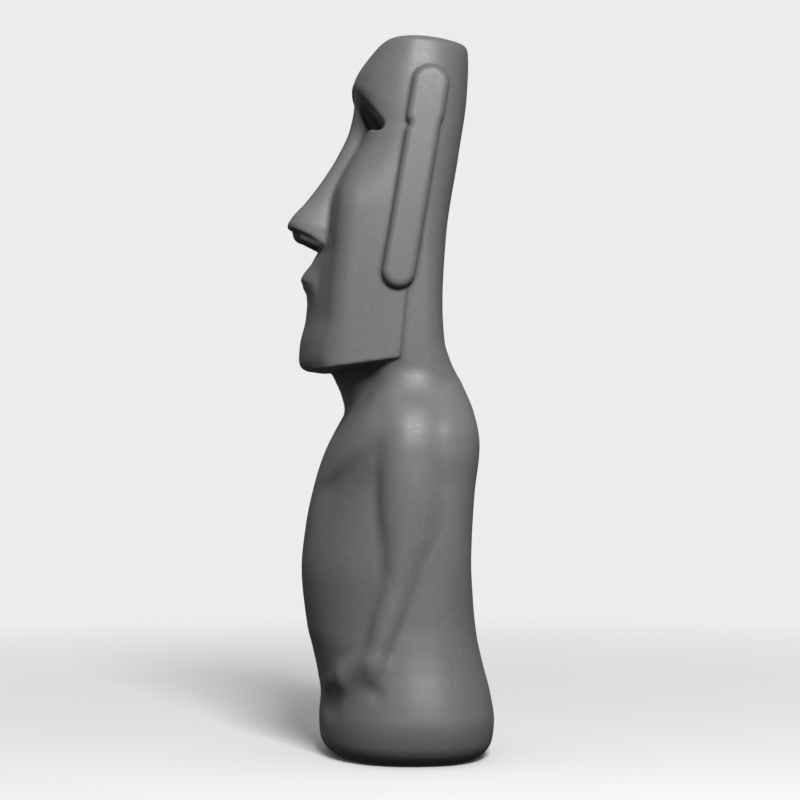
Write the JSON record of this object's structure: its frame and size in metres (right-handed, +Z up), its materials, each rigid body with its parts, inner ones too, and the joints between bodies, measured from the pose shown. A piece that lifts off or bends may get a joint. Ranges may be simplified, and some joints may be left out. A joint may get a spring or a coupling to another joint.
{
  "type": "moai statue",
  "caption": "Tall standing stone figure with a long flat-backed head, jutting brow, long nose and long ears, arms held at its sides, hands on the low belly and a rounded foot.",
  "frame": {"origin": "middle of the flat underside, where the statue stands", "axes": "+Z up along the figure, -Y the way it faces, +X towards its own left side"},
  "size_m": [1.536, 1.1441, 4],
  "materials": {
    "stone": "smooth, fine-grained, slightly worn dark grey stone"
  },
  "bodies": {
    "root": {"moai_statue": "stone"}
  },
  "joints": []
}
